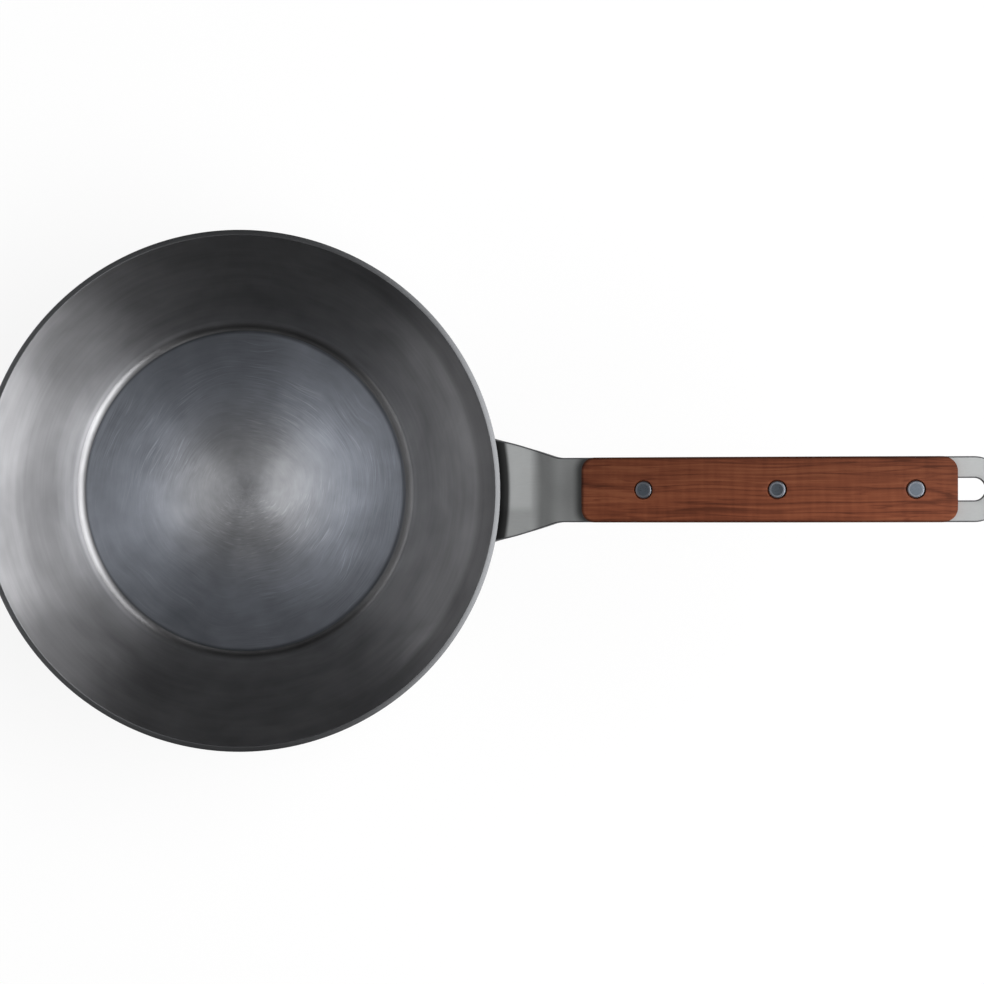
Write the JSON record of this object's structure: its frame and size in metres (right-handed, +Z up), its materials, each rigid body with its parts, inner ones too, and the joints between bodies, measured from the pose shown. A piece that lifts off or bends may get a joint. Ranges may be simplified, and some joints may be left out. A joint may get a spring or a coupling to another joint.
{
  "type": "carbon steel saute pan",
  "caption": "Flared carbon steel saute pan with a flat base and a welded steel strap handle that carries riveted wooden scales and ends in a hanging slot.",
  "frame": {"origin": "centre of the bowl's flat underside", "axes": "+Z up out of the bowl, +X along the handle, +Y to the left of someone who looks from the bowl to the handle's end"},
  "size_m": [0.4659, 0.2396, 0.1155],
  "materials": {
    "bowl_steel": "bare carbon steel, base brushed in circles",
    "strap_steel": "satin",
    "weld_steel": "rough satin",
    "handle_wood": "reddish brown hardwood, oiled",
    "rivet_steel": "satin"
  },
  "bodies": {
    "root": {"pan_bowl": "bowl_steel", "handle_strap": "strap_steel", "foot_weld": "weld_steel", "upper_scale": "handle_wood", "lower_scale": "handle_wood", "rivet_tube_1": "rivet_steel", "rivet_tube_2": "rivet_steel", "rivet_tube_3": "rivet_steel", "rivet_pin_1": "rivet_steel", "rivet_pin_2": "rivet_steel", "rivet_pin_3": "rivet_steel"}
  },
  "joints": []
}
